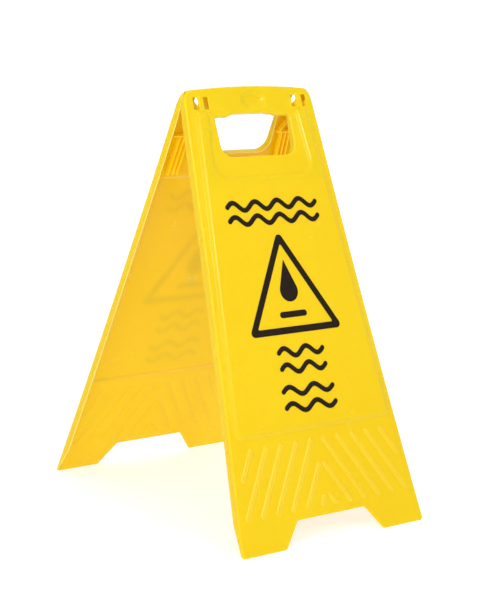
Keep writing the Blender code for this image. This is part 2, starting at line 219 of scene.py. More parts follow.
# Painted light: the hinge and rib plastic is paler than the panel's, to light them where they sit in shade
LIT_HINGE_YELLOW = (0.950, 0.640, 0.008)
LIT_DEEP_HINGE_YELLOW = (0.930, 0.600, 0.005)
SHOW_COLOUR = (0.700, 0.440, 0.010)
SHOW_MOST = 0.30
INK = (0.010, 0.005, 0.002)
PALE_INK = (0.016, 0.008, 0.003)
PAPER = (0.60, 0.60, 0.60)
PALE_PAPER = (0.62, 0.62, 0.62)
WHITE = (1.0, 1.0, 1.0, 1.0)
PAINTED_CARRIED_LIGHT = (1.0, 0.55, 0.02, 1.0)  # painted glow, in place of the light that comes through the translucent walls
PAINTED_CARRIED_GLOW = 0.12
PLASTIC_GLOSS = 0.24
PLASTIC_DEPTH = (0.0048, 0.0032, 0.0004)  # how far red, green and blue light goes into it
PLASTIC_DEPTH_WEIGHT = 0.65
PANEL_ROUGHNESS = 0.22
HINGE_ROUGHNESS = 0.28
RIB_ROUGHNESS = 0.26
HINGE_BEVEL = 0.0004
THIN_BEVEL = 0.0003
BEVEL_SEGMENTS = 3
BEVEL_ANGLE = math.radians(35)

# Studio, in metres, radians and watts, with the lens and sensor in millimetres
CAMERA_PLACE = Vector((-1.4578, -1.9072, 0.7567))
CAMERA_YAW = 0.6556
CAMERA_PITCH = 0.1949
CAMERA_ROLL = 0.0323
CAMERA_LENS = 105.17
CAMERA_SENSOR = 36.0
LIGHTS = (
    # name, place, target, size, power
    ("key", (-2.7, -1.5, 2.2), (0, 0, 0.3), 1.4, 47),
    ("fill", (-2.3, -2.8, 0.8), (0, 0, 0.3), 1.8, 20),
    ("front", (-0.1, -3.4, 2.2), (0, 0, 0.4), 1.2, 7),
    ("top", (0, -0.4, 3.4), (0, 0, 0.3), 2.4, 25),
    ("spark", (0.5, -3.4, 2.5), (0, 0, 0.5), 0.22, 18),
)
WORLD_LIGHT = 0.50
PAPER_GLOW = 0.53  # the light that lit paper gives back near the sign, as in a white studio
BACKDROP_GLOW = 0.65
GLOW_START = 0.6  # from here out to GLOW_END the paper's glow becomes the backdrop's
GLOW_END = 4.0
FLOOR_FRONT = -8.0
FLOOR_BACK = 4.0
FLOOR_HALF_WIDTH = 9.0
SWEEP_RADIUS = 3.0
SWEEP_STEPS = 16
BACKDROP_HEIGHT = 9.0


def smooth(t):
    t = min(1.0, max(0.0, t))
    return t * t * (3 - 2 * t)


def at(across, down, out):
    return Vector((across, -out, -down))


def half_width(down):
    part = down / PANEL_LENGTH
    straight = HALF_WIDTH_TOP + (HALF_WIDTH_FOOT - HALF_WIDTH_TOP) * part
    return straight - 4 * SIDE_SAG * part * (1 - part)


def top_edge(across):
    return -CROWN_RISE + CROWN_DROP * (across / CORNER_START) ** 2


def flange_edge(down):
    """How far out the side flange's inner edge is."""
    if down < 0:
        return -down * math.tan(LEAN) + GAP / (2 * math.cos(LEAN))
    taper = max(0.0, down - (PANEL_LENGTH - FLANGE_TAPER)) / FLANGE_TAPER
    return GAP / 2 + taper * (FACE_BACK - GAP)


def offset_corners(corners, distance):
    """The closed outline of (across, down, radius) corners moved in by distance, or out if it is negative."""
    moved = []
    for i, (across, down, radius) in enumerate(corners):
        here = Vector((across, down))
        come = (here - Vector(corners[i - 1][:2])).normalized()
        go = (Vector(corners[(i + 1) % len(corners)][:2]) - here).normalized()
        convex = come.cross(go) > 0
        bisector = (go - come).normalized()
        reach = distance / math.sqrt((1 + come.dot(go)) / 2)
        corner = here + bisector * (reach if convex else -reach)
        moved.append((corner.x, corner.y, radius - distance if convex else radius + distance))
    return moved


def rounded(corners, steps=ARC_STEPS):
    """Points of a closed outline whose (across, down, radius) corners are rounded by arcs."""
    points = []
    for i, (across, down, radius) in enumerate(corners):
        here = Vector((across, down))
        if radius <= 0:
            points.append(here)
            continue
        to_before = (Vector(corners[i - 1][:2]) - here).normalized()
        to_after = (Vector(corners[(i + 1) % len(corners)][:2]) - here).normalized()
        half = to_before.angle(to_after) / 2
        centre = here + (to_before + to_after).normalized() * radius / math.sin(half)
        start = here + to_before * radius / math.tan(half) - centre
        sweep = start.angle_signed(here + to_after * radius / math.tan(half) - centre)
        for step in range(steps + 1):
            points.append(centre + Matrix.Rotation(-sweep * step / steps, 2) @ start)
    return points


def mirrored(half):
    """A closed outline from its right half, which starts and ends off the middle."""
    return list(half) + [(-item[0], *item[1:]) for item in reversed(half)]


def mitres(points, hole):
    """For each point of a closed outline, the step that moves both its edges one unit off the material."""
    area = sum(points[i - 1].cross(points[i]) for i in range(len(points)))
    sign = math.copysign(1.0, area) * (-1 if hole else 1)
    steps = []
    for i, here in enumerate(points):
        come = (here - points[i - 1]).normalized()
        go = (points[(i + 1) % len(points)] - here).normalized()
        first, second = Vector((come.y, -come.x)) * sign, Vector((go.y, -go.x)) * sign
        steps.append((first + second) / (1 + first.dot(second)))
    return steps


class Skin:
    """The outer surface of a moulding. Each vertex carries the way to its twin on the inner surface."""

    def __init__(self):
        self.bm = bmesh.new()
        self.back = self.bm.verts.layers.float_vector.new("back")
        self.end = self.bm.verts.layers.float_vector.new("end")
        self.wear_and_painted_light = self.bm.verts.layers.float.new("wear_and_painted_light")
        self.inside = self.bm.verts.layers.float.new("inside")
        self.turn = self.bm.verts.layers.float.new("turn")

    def vert(self, point, out, tilt=0.0, away=None):
        """A vertex whose normal leans by tilt from straight out towards away, a step in the face's plane."""
        side = at(away.x, away.y, 0) if away else Vector()
        straight = at(0, 0, 1)
        vert = self.bm.verts.new(at(point[0], point[1], out))
        vert[self.back] = -WALL * (straight * math.cos(tilt) + side * math.sin(tilt))
        vert[self.end] = side * math.cos(tilt) - straight * math.sin(tilt)
        vert[self.turn] = math.sin(tilt)
        return vert

    def ring(self, points, out):
        return [self.vert(point, out) for point in points]

    def strip(self, first, second):
        for i in range(len(first)):
            self.bm.faces.new((first[i - 1], first[i], second[i], second[i - 1]))

    def loop_edges(self, ring):
        edges = []
        for i in range(len(ring)):
            pair = (ring[i - 1], ring[i])
            edges.append(self.bm.edges.get(pair) or self.bm.edges.new(pair))
        return edges

    def roll(self, points, hole, radius, bends, ends):
        """Rings from the flat face round to a free edge. Returns the ring that meets the face.

        bends says how far the surface turns at each point, from 0 for flat to 1 for square, and ends how far
        out the free edge is where it is square.
        """
        away = mitres(points, hole)
        rings = []
        for step in range(ROLL_STEPS + 2):
            ring = []
            for point, side, bend, end in zip(points, away, bends, ends):
                angle = bend * math.pi / 2
                flat_run = radius - NOSE
                wall_run = FLANGE_DEPTH - end - radius - NOSE
                run = (1 - bend) * flat_run + bend * wall_run
                if step <= ROLL_STEPS:
                    travel = (1 - bend) * flat_run * step / (ROLL_STEPS + 1)
                    travel += bend * radius * angle * step / ROLL_STEPS
                else:
                    travel = radius * angle + run
                turned = min(angle, travel / radius)
                straight = travel - radius * turned
                inset = radius * (1 - math.sin(turned)) - straight * math.cos(turned)
                out = FLANGE_DEPTH - radius * (1 - math.cos(turned)) - straight * math.sin(turned)
                ring.append(self.vert(point - side * inset, out, turned, side))
            rings.append(ring)
        for first, second in zip(rings, rings[1:]):
            self.strip(first, second)
        return rings[0]

    def close(self):
        """Adds the inner surface and the rounded nose along every free edge."""
        bm = self.bm
        bmesh.ops.recalc_face_normals(bm, faces=bm.faces)
        if sum(face.normal.y * face.calc_area() for face in bm.faces) > 0:
            bmesh.ops.reverse_faces(bm, faces=bm.faces)
        outer_faces = list(bm.faces)
        outer_verts = list(bm.verts)
        free = [edge for edge in bm.edges if len(edge.link_faces) == 1]
        twins = {vert: bm.verts.new(vert.co + vert[self.back]) for vert in outer_verts}
        for twin in twins.values():
            twin[self.inside] = 1.0
        columns = {}
        for edge in free:
            for vert in edge.verts:
                if vert in columns:
                    continue
                through = (twins[vert].co - vert.co).normalized()
                column = [vert]
                for near, way in ((vert, through), (twins[vert], -through)):
                    arc = []
                    for step in range(1, NOSE_STEPS + 1):
                        angle = math.pi / 2 * step / NOSE_STEPS
                        shift = way * (1 - math.cos(angle)) + vert[self.end] * math.sin(angle)
                        arc.append(bm.verts.new(near.co + shift * NOSE))
                        # Painted highlight: the nose of a wall turned square is paled towards its tip
                        arc[-1][self.wear_and_painted_light] = EDGE_WEAR_AND_HIGHLIGHT * math.sin(angle) * vert[self.turn]
                    column += arc if near is vert else arc[::-1]
                columns[vert] = [*column, twins[vert]]
        for face in outer_faces:
            bm.faces.new([twins[vert] for vert in reversed(face.verts)])
        for edge in free:
            loop = edge.link_loops[0]
            start, finish = columns[loop.vert], columns[loop.link_loop_next.vert]
            for i in range(len(start) - 1):
                bm.faces.new((finish[i], start[i], start[i + 1], finish[i + 1]))
        return twins


def outline_half():
    """(across, down, bend) down the right half of the silhouette, from the crown's middle to the notch."""
    rows = []
    for step in range(CROWN_STEPS):
        across = CORNER_START * (step + 0.5) / CROWN_STEPS
        rows.append((across, top_edge(across), 0.0))
    top = Vector((CORNER_START, top_edge(CORNER_START)))
    end = Vector((half_width(CORNER_END), CORNER_END))
    knee = Vector((end.x - CORNER_PULL_IN, top.y + CORNER_PULL_DOWN))
    for step in range(ARC_STEPS + 1):
        t = step / ARC_STEPS
        point = top * (1 - t) ** 2 + knee * 2 * t * (1 - t) + end * t**2
        rows.append((point.x, point.y, smooth(t * CORNER_BEND_RATE)))
    last = PANEL_LENGTH - FOOT_RADIUS
    for step in range(1, SIDE_STEPS):
        down = CORNER_END + (last - CORNER_END) * step / SIDE_STEPS
        rows.append((half_width(down), down, 1.0))
    corners = [
        (half_width(PANEL_LENGTH), PANEL_LENGTH, FOOT_RADIUS),
        (NOTCH_HALF_FOOT, PANEL_LENGTH, NOTCH_RADIUS),
        (NOTCH_HALF_TOP, PANEL_LENGTH - NOTCH_HEIGHT, FOOT_RADIUS),
        (0.0, PANEL_LENGTH - NOTCH_HEIGHT, 0.0),
        (0.0, 0.0, 0.0),
        (half_width(0), 0.0, 0.0),
    ]
    for i, point in enumerate(rounded(corners)[:-3]):
        rows.append((point.x, point.y, smooth(1 - i / ARC_STEPS)))
    return rows


def opening_corners():
    """The hand opening: rounded at its foot, and under the bar a shallow arch."""
    half = [
        (OPENING_HALF_BOTTOM, OPENING_BOTTOM, OPENING_RADIUS),
        (OPENING_HALF_TOP, BAR_FOOT, BAR_CORNER),
    ]
    arch = []
    for step in range(ARCH_STEPS + 1):
        across = BAR_ARCH_END + (BAR_ARCH_START - BAR_ARCH_END) * step / ARCH_STEPS
        arch.append((across, BAR_FOOT - BAR_ARCH * smooth(step / ARCH_STEPS), 0.0))
    return mirrored(half + arch)


def field_corners():
    half = [
        (RECESS_HALF_BOTTOM, RECESS_BOTTOM, RECESS_RADIUS),
        (RECESS_HALF_TOP, FIELD_TOP, ARM_RADIUS),
        (half_width(FIELD_TOP) - FIELD_MARGIN_TOP, FIELD_TOP, ARM_RADIUS),
        (half_width(FIELD_BOTTOM) - FIELD_MARGIN_BOTTOM, FIELD_BOTTOM, FIELD_RADIUS),
    ]
    return mirrored(half)


def chevron_arms():
    arms = []
    for count in CHEVRON_COUNTS:
        apex = CHEVRON_APEX + count * CHEVRON_PITCH
        start = max(apex + CHEVRON_GAP, CHEVRON_TOP)
        end = CHEVRON_BOTTOM
        while CHEVRON_SLOPE * (end - apex) > half_width(end) - CHEVRON_SIDE_MARGIN:
            end -= CHEVRON_TRIM
        for side in (1, -1):
            arms.append([Vector((side * CHEVRON_SLOPE * (down - apex), down)) for down in (start, end)])
    return arms


def stadium(start, end, radius, steps=CHEVRON_END_STEPS):
    """The outline at a distance round a line from start to end."""
    along = (end - start).normalized()
    side = Vector((-along.y, along.x))
    points = []
    for centre, first, way in ((end, side, along), (start, -side, -along)):
        for step in range(steps + 1):
            angle = math.pi * step / steps
            points.append(centre + (first * math.cos(angle) + way * math.sin(angle)) * radius)
    return points


def add_chevron(skin, start, end):
    """One raised arm with rounded flanks and a flat top. Returns the ring on the face."""
    inset = (end - start).normalized() * CHEVRON_HALF_WIDTH
    rings = []
    for step in range(CHEVRON_STEPS + 1):
        radius = CHEVRON_HALF_WIDTH * (1 - CHEVRON_FLANK * step / CHEVRON_STEPS)
        out = FLANGE_DEPTH + CHEVRON_RISE * smooth(step / CHEVRON_STEPS)
        rings.append(skin.ring(stadium(start + inset, end - inset, radius), out))
    for first, second in zip(rings, rings[1:]):
        skin.strip(first, second)
    skin.bm.faces.new(rings[-1])
    # Paler arms: part wear, part painted sheen of the light on them
    for ring in rings[1:]:
        for vert in ring:
            vert[skin.wear_and_painted_light] = CHEVRON_WEAR_AND_SHEEN
    return rings[0]


def add_hollow(skin):
    """The thumb hollow in the middle of the bar."""
    rings = []
    for step in range(HOLLOW_RINGS):
        reach = 1 - step / HOLLOW_RINGS
        depth = HOLLOW_DEPTH * smooth((1 - reach) / HOLLOW_WALL)
        ring = []
        for turn in range(HOLLOW_STEPS):
            angle = 2 * math.pi * turn / HOLLOW_STEPS
            across = HOLLOW_ACROSS + HOLLOW_HALF_WIDTH * reach * math.cos(angle)
            down = HOLLOW_DOWN + HOLLOW_HALF_HEIGHT * reach * math.sin(angle)
            ring.append(skin.vert((across, down), FLANGE_DEPTH - depth))
        rings.append(ring)
    for first, second in zip(rings, rings[1:]):
        skin.strip(first, second)
    skin.bm.faces.new(rings[-1])
    return rings[0]


def add_slot(skin, across, width):
    corners = [
        (across - width / 2, SLOT_TOP, SLOT_RADIUS),
        (across + width / 2, SLOT_TOP, SLOT_RADIUS),
        (across + width / 2, SLOT_BOTTOM, SLOT_RADIUS),
        (across - width / 2, SLOT_BOTTOM, SLOT_RADIUS),
    ]
    points = rounded(corners, SLOT_ARC_STEPS)
    flat = [0.0] * len(points)
    return skin.roll(points, True, 2 * NOSE, flat, flat)


def split_at(points, levels):
    """A closed outline with a point added wherever it crosses one of these levels."""
    split = []
    for i, here in enumerate(points):
        split.append(here)
        there = points[(i + 1) % len(points)]
        crossed = [level for level in levels if min(here.y, there.y) < level < max(here.y, there.y)]
        for level in sorted(crossed, reverse=there.y < here.y):
            split.append(here.lerp(there, (level - here.y) / (there.y - here.y)))
    return split


def hollow_out(skin, vert, part):
    """Sets the wall behind a vertex of the field, at this part of the way up the shoulder."""
    down, out = -vert.co.z, -vert.co.y
    pocket = smooth((down - POCKET_TOP) / POCKET_EDGE)
    pocket *= smooth((part - POCKET_START) / (POCKET_END - POCKET_START))
    vert[skin.back] = at(0, 0, FACE_BACK + FIELD_RISE * pocket - out)


def add_field(skin):
    """The raised field that carries the print. Its flat top is a fine net, which the show-through needs."""
    corners = field_corners()
    edge_rows = [POCKET_TOP + POCKET_EDGE * part for part in (0.0, 0.5, 1.0)]
    rings = []
    for step in range(SHOULDER_STEPS + 1):
        part = step / SHOULDER_STEPS
        points = split_at(rounded(offset_corners(corners, SHOULDER * part)), edge_rows)
        rise = math.sin(math.pi / 2 * part)
        rings.append(skin.ring(points, FLANGE_DEPTH + FIELD_RISE * rise))
        for vert in rings[-1]:
            hollow_out(skin, vert, part)
    for first, second in zip(rings, rings[1:]):
        skin.strip(first, second)
    border = [Vector((vert.co.x, -vert.co.z)) for vert in rings[-1]]
    net_rows = [edge_rows[2] + row * NET_PITCH for row in range(round(NET_LENGTH / NET_PITCH))]
    extra = []
    for down in edge_rows[:2] + net_rows:
        for column in range(-NET_COLUMNS, NET_COLUMNS + 1):
            extra.append(Vector((column * NET_PITCH, down)))
    inside_only = 1
    points, _, faces, original, _, _ = delaunay_2d_cdt(
        border + extra, [], [list(range(len(border)))], inside_only, MERGE
    )
    made = {}
    for index, sources in enumerate(original):
        first = min(sources) if sources else len(border)
        made[index] = rings[-1][first] if first < len(border) else None
    for face in faces:
        corner_verts = []
        for index in face:
            if made[index] is None:
                made[index] = skin.vert(points[index], FLANGE_DEPTH + FIELD_RISE)
                hollow_out(skin, made[index], 1.0)
            corner_verts.append(made[index])
        skin.bm.faces.new(corner_verts)
    return rings[0]


def ripple(down, half_length, waves):
    """The outline of a wavy stroke with round ends."""
    steps = WAVE_STEPS * waves
    upper, lower, middle = [], [], []
    for step in range(steps + 1):
        phase = 2 * math.pi * waves * step / steps
        middle.append(Vector((half_length * (2 * step / steps - 1), down - WAVE_HEIGHT * math.sin(phase))))
    for i, point in enumerate(middle):
        along = (middle[min(i + 1, steps)] - middle[max(i - 1, 0)]).normalized()
        side = Vector((-along.y, along.x)) * WAVE_STROKE / 2
        upper.append(point - side)
        lower.append(point + side)
    caps = []
    for point, spoke in ((middle[-1], upper[-1] - middle[-1]), (middle[0], lower[0] - middle[0])):
        turns = [Matrix.Rotation(math.pi * step / CAP_STEPS, 2) for step in range(1, CAP_STEPS)]
        caps.append([point + turn @ spoke for turn in turns])
    return upper + caps[0] + lower[::-1] + caps[1]


def triangle(inset, radius):
    """The warning triangle's outline, moved in by inset."""
    corners = [
        (0.0, TRIANGLE_APEX, radius),
        (TRIANGLE_HALF, TRIANGLE_BASE, radius),
        (-TRIANGLE_HALF, TRIANGLE_BASE, radius),
    ]
    moved = offset_corners(corners, inset)
    return rounded([(across, down, radius) for across, down, _ in moved])


def drop():
    """A drop of water with its tip up."""
    reach = DROP_CENTRE - DROP_TIP
    open_angle = math.acos(DROP_RADIUS / reach)
    points = [Vector((0, DROP_TIP))]
    for step in range(DROP_STEPS + 1):
        angle = open_angle + (2 * math.pi - 2 * open_angle) * step / DROP_STEPS
        points.append(Vector((math.sin(angle), -math.cos(angle))) * DROP_RADIUS + Vector((0, DROP_CENTRE)))
    return points


def puddle():
    """The short bar under the drop."""
    radius = PUDDLE_THICKNESS / 2
    half = PUDDLE_HALF - radius
    ends = Vector((-half, PUDDLE_DOWN)), Vector((half, PUDDLE_DOWN))
    return stadium(*ends, radius, PUDDLE_END_STEPS)


def print_shapes():
    """Each mark as a list of outlines, the first outer and any others holes in it."""
    shapes = [[ripple(*row)] for row in RIPPLES]
    shapes.append([triangle(0.0, TRIANGLE_RADIUS), triangle(TRIANGLE_STROKE, TRIANGLE_RADIUS / 4)])
    shapes += [[drop()], [puddle()]]
    return shapes


def depth_inside(point, outline):
    """How far a point is inside an outline, or minus how far outside."""
    nearest, inside = 1.0, False
    for i, finish in enumerate(outline):
        start = outline[i - 1]
        line = finish - start
        t = min(1.0, max(0.0, (point - start).dot(line) / line.length_squared))
        nearest = min(nearest, (start + line * t - point).length)
        if (start.y > point.y) != (finish.y > point.y):
            cross = start.x + (point.y - start.y) / (finish.y - start.y) * line.x
            inside ^= point.x < cross
    return nearest if inside else -nearest


def show_through(point, shapes):
    """How dark the print looks from behind, through the plastic, from 0 to 1."""
    depth = -1.0
    for outlines in shapes:
        outer, *holes = outlines
        low = min(corner.y for corner in outer) - SHOW_BLUR
        high = max(corner.y for corner in outer) + SHOW_BLUR
        if low < point.y < high:
            depths = [depth_inside(point, outer)] + [-depth_inside(point, hole) for hole in holes]
            depth = max(depth, min(depths))
    return smooth(0.5 + depth / (2 * SHOW_BLUR))


def add_gate(skin):
    """The small ring that the moulding's gate leaves on the inside."""
    bm = skin.bm
    centre = at(0, GATE_DOWN, FLANGE_DEPTH + FIELD_RISE - WALL - GATE_SUNK)
    rings = []
    for i in range(GATE_STEPS):
        angle = 2 * math.pi * i / GATE_STEPS
        spoke = Vector((math.cos(angle), 0, math.sin(angle)))
        ring = []
        for j in range(GATE_TUBE_STEPS):
            turn = 2 * math.pi * j / GATE_TUBE_STEPS
            inward = Vector((0, GATE_TUBE * math.sin(turn), 0))
            ring.append(bm.verts.new(centre + spoke * (GATE_RADIUS + GATE_TUBE * math.cos(turn)) + inward))
            ring[-1][skin.wear_and_painted_light] = 1.0
        rings.append(ring)
    for i in range(GATE_STEPS):
        for j in range(GATE_TUBE_STEPS):
            bm.faces.new((rings[i - 1][j - 1], rings[i - 1][j], rings[i][j], rings[i][j - 1]))


def rim_end(down):
    """How far out the opening's wall ends: shallower under the bar than round the foot."""
    change = smooth((down - RIM_CHANGE_START) / RIM_CHANGE_RUN)
    return BAR_LIP_INNER + (RIM_INNER - BAR_LIP_INNER) * change


def draw_outer_surface(skin):
    rows = mirrored(outline_half())
    outline = [Vector(row[:2]) for row in rows]
    bends = [row[2] for row in rows]
    ends = [flange_edge(row[1]) for row in rows]
    loops = [skin.roll(outline, False, SIDE_ROLL, bends, ends)]
    opening = rounded(opening_corners())
    ends = [rim_end(point.y) for point in opening]
    loops.append(skin.roll(opening, True, LIP_ROLL, [1.0] * len(opening), ends))
    loops += [add_slot(skin, *slot) for slot in SLOTS]
    loops += [add_chevron(skin, *arm) for arm in chevron_arms()]
    loops += [add_hollow(skin), add_field(skin)]
    edges = [edge for loop in loops for edge in skin.loop_edges(loop)]
    bmesh.ops.triangle_fill(skin.bm, edges=edges, normal=(0, -1, 0), use_beauty=True)


def mark_inside(skin, twins, shapes):
    """Paints light on the pocket's edge. Returns how dark the print makes each inner vertex behind it."""
    shade = {}
    for vert, twin in twins.items():
        down = -vert.co.z
        if SHOW_TOP < down < SHOW_BOTTOM and -vert.co.y > FLANGE_DEPTH + FLAT_TOP * FIELD_RISE:
            shade[twin] = show_through(Vector((vert.co.x, down)), shapes)
        # Painted light on the pocket's sloping edge
        if down < FIELD_BOTTOM and POCKET_FLAT < (-twin.co.y - FACE_BACK) / FIELD_RISE < 1 - POCKET_FLAT:
            twin[skin.wear_and_painted_light] = POCKET_PAINTED_LIGHT
    return shade


def keep_above_floor(skin):
    """Levels off the feet, which stand on the floor when the sign is open."""
    for vert in skin.bm.verts:
        floor = (HINGE_HEIGHT - vert.co.y * math.sin(LEAN)) / math.cos(LEAN)
        if vert.co.z < ABOVE_FLOOR - floor:
            vert.co.z = ABOVE_FLOOR - floor
            vert[skin.wear_and_painted_light] = EDGE_WEAR_AND_HIGHLIGHT


def moulding_mesh(shapes):
    skin = Skin()
    bm = skin.bm
    draw_outer_surface(skin)
    shade = mark_inside(skin, skin.close(), shapes)
    add_gate(skin)
    keep_above_floor(skin)
    bmesh.ops.recalc_face_normals(bm, faces=bm.faces)
    bm.verts.index_update()
    mesh = bpy.data.meshes.new("moulding")
    bm.to_mesh(mesh)
    values = [0.0] * len(mesh.vertices)
    for vert, value in shade.items():
        values[vert.index] = value
    mesh.attributes.new("print_shadow", "FLOAT", "POINT").data.foreach_set("value", values)
    for name in ("back", "end", "turn"):
        mesh.attributes.remove(mesh.attributes[name])
    bm.free()
    mesh.shade_smooth()
    return mesh


def ink_mesh(shapes):
    bm = bmesh.new()
    for outlines in shapes:
        edges = []
        for outline in outlines:
            verts = [bm.verts.new(at(*point, FLANGE_DEPTH + FIELD_RISE)) for point in outline]
            edges += [bm.edges.new((verts[i - 1], verts[i])) for i in range(len(verts))]
        bmesh.ops.triangle_fill(bm, edges=edges, normal=(0, -1, 0), use_beauty=True)
    grown = bmesh.ops.extrude_face_region(bm, geom=bm.faces[:])["geom"]
    for item in grown:
        if isinstance(item, bmesh.types.BMVert):
            item.co.y -= INK_THICKNESS
    bmesh.ops.recalc_face_normals(bm, faces=bm.faces)
    mesh = bpy.data.meshes.new("ink")
    bm.to_mesh(mesh)
    bm.free()
    return mesh


class Nodes:
    """A material's node tree with short ways to add to it."""

    def __init__(self, name):
        self.material = bpy.data.materials.new(name)
        self.material.use_nodes = True
        self.tree = self.material.node_tree
        self.shader = self.tree.nodes["Principled BSDF"]
        self.coords = self.tree.nodes.new("ShaderNodeTexCoord").outputs["Object"]

    def link(self, source, target):
        self.tree.links.new(source, target)

    def noise(self, scale, detail=2.0, rough=0.5, stretch=None):
        node = self.tree.nodes.new("ShaderNodeTexNoise")
        node.inputs["Scale"].default_value = scale
        node.inputs["Detail"].default_value = detail
        node.inputs["Roughness"].default_value = rough
        source = self.coords
        if stretch:
            mapping = self.tree.nodes.new("ShaderNodeMapping")
            mapping.inputs["Scale"].default_value = stretch
            self.link(source, mapping.inputs["Vector"])
            source = mapping.outputs["Vector"]
        self.link(source, node.inputs["Vector"])
        return node.outputs["Fac"]

    def span(self, value, low, high, to_low, to_high):
        node = self.tree.nodes.new("ShaderNodeMapRange")
        for name, number in zip(("From Min", "From Max", "To Min", "To Max"), (low, high, to_low, to_high)):
            node.inputs[name].default_value = number
        self.link(value, node.inputs["Value"])
        return node.outputs["Result"]

    def attribute(self, name, most):
        """A value drawn on the mesh from 0 to 1, scaled to at most this much."""
        node = self.tree.nodes.new("ShaderNodeAttribute")
        node.attribute_name = name
        return self.span(node.outputs["Fac"], 0.0, 1.0, 0.0, most)

    def mix(self, factor, first, second):
        node = self.tree.nodes.new("ShaderNodeMix")
        node.data_type = "RGBA"
        self.link(factor, node.inputs["Factor"])
        for socket, value in ((node.inputs["A"], first), (node.inputs["B"], second)):
            if isinstance(value, tuple):
                socket.default_value = (*value, 1.0)
            else:
                self.link(value, socket)
        return node.outputs["Result"]

    def bump(self, height, strength, distance, under=None):
        node = self.tree.nodes.new("ShaderNodeBump")
        node.inputs["Strength"].default_value = strength
        node.inputs["Distance"].default_value = distance
        self.link(height, node.inputs["Height"])
        if under:
            self.link(under, node.inputs["Normal"])
        return node.outputs["Normal"]


def plastic(name, light, deep, worn, rough, moulded=False, glow=0.0):
    """Glossy self-coloured plastic: cloudy tone, faint flow lines down it, scuffs and a fine grain."""
    nodes = Nodes(name)
    shader = nodes.shader
    cloud = nodes.span(nodes.noise(6.0, 3.0), 0.35, 0.65, 0.0, 1.0)
    colour = nodes.mix(cloud, light, deep)
    flow = nodes.span(nodes.noise(1.0, 4.0, 0.6, stretch=(60.0, 60.0, 4.0)), 0.45, 0.75, 0.0, 0.35)
    colour = nodes.mix(flow, colour, deep)
    scuff = nodes.span(nodes.noise(38.0, 9.0, 0.72), 0.62, 0.78, 0.0, 0.30)
    colour = nodes.mix(scuff, colour, worn)
    if moulded:
        # Painted light: the whole inner surface takes a paler, more orange yellow
        colour = nodes.mix(nodes.attribute("inside", 1.0), colour, LIT_INNER_YELLOW)
        colour = nodes.mix(nodes.attribute("print_shadow", SHOW_MOST), colour, SHOW_COLOUR)
        # Pale edges: wear, with painted highlights and painted light on the pocket's edge
        colour = nodes.mix(nodes.attribute("wear_and_painted_light", 1.0), colour, WEAR_AND_LIGHT_YELLOW)
    nodes.link(colour, shader.inputs["Base Color"])
    tone = nodes.noise(14.0, 6.0, 0.6)
    nodes.link(nodes.span(tone, 0.3, 0.7, rough - 0.04, rough + 0.07), shader.inputs["Roughness"])
    wave = nodes.bump(nodes.noise(9.0, 1.0), 0.10, 0.004)
    nodes.link(nodes.bump(nodes.noise(1400.0, 2.0), 0.05, 0.0003, wave), shader.inputs["Normal"])
    shader.inputs["Specular IOR Level"].default_value = PLASTIC_GLOSS
    shader.inputs["Subsurface Weight"].default_value = PLASTIC_DEPTH_WEIGHT
    shader.inputs["Subsurface Radius"].default_value = PLASTIC_DEPTH
    shader.inputs["Subsurface Scale"].default_value = 1.0
    # Painted light: a glow of its own on the hinge and ribs, for the light carried through the walls
    shader.inputs["Emission Color"].default_value = PAINTED_CARRIED_LIGHT
    shader.inputs["Emission Strength"].default_value = glow
    return nodes.material


def ink_material():
    nodes = Nodes("print_ink")
    shader = nodes.shader
    patch = nodes.span(nodes.noise(120.0, 5.0, 0.6), 0.35, 0.65, 0.0, 1.0)
    nodes.link(nodes.mix(patch, INK, PALE_INK), shader.inputs["Base Color"])
    nodes.link(nodes.span(nodes.noise(60.0, 3.0), 0.3, 0.7, 0.30, 0.42), shader.inputs["Roughness"])
    nodes.link(nodes.bump(nodes.noise(900.0, 2.0), 0.08, 0.0002), shader.inputs["Normal"])
    shader.inputs["Specular IOR Level"].default_value = 0.18
    return nodes.material


def floor_material():
    """White paper whose glow, measured out from under the sign, stands for the light of a white studio."""
    nodes = Nodes("studio_paper")
    shader = nodes.shader
    nodes.link(nodes.mix(nodes.noise(3.0, 3.0), PAPER, PALE_PAPER), shader.inputs["Base Color"])
    shader.inputs["Roughness"].default_value = 0.85
    shader.inputs["Specular IOR Level"].default_value = 0.1
    shader.inputs["Emission Color"].default_value = WHITE
    length = nodes.tree.nodes.new("ShaderNodeVectorMath")
    length.operation = "LENGTH"
    nodes.link(nodes.coords, length.inputs[0])
    glow = nodes.span(length.outputs["Value"], GLOW_START, GLOW_END, PAPER_GLOW, BACKDROP_GLOW)
    nodes.link(glow, shader.inputs["Emission Strength"])
    return nodes.material


def soften(node, width):
    """Rounds the edges of a CAD node that is shown."""
    bevel = node.modifiers.new("soft_edges", "BEVEL")
    bevel.width = width
    bevel.segments = BEVEL_SEGMENTS
    bevel.limit_method = "ANGLE"
    bevel.angle_limit = BEVEL_ANGLE
    node.data.shade_smooth()
    node.modifiers.new("flat_faces", "WEIGHTED_NORMAL").keep_sharp = True


def add_object(name, drawn, matrix, material, body):
    """A piece from a mesh drawn in a moulding's frame. The mesh is copied and stood where the piece is."""
    mesh = drawn.copy()
    mesh.transform(matrix)
    mesh.materials.append(material)
    obj = bpy.data.objects.new(name, mesh)
    bpy.context.scene.collection.objects.link(obj)
    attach(obj, body)
    return obj


def dress_node(node, material, width):
    node.data.materials.clear()
    node.data.materials.append(material)
    soften(node, width)


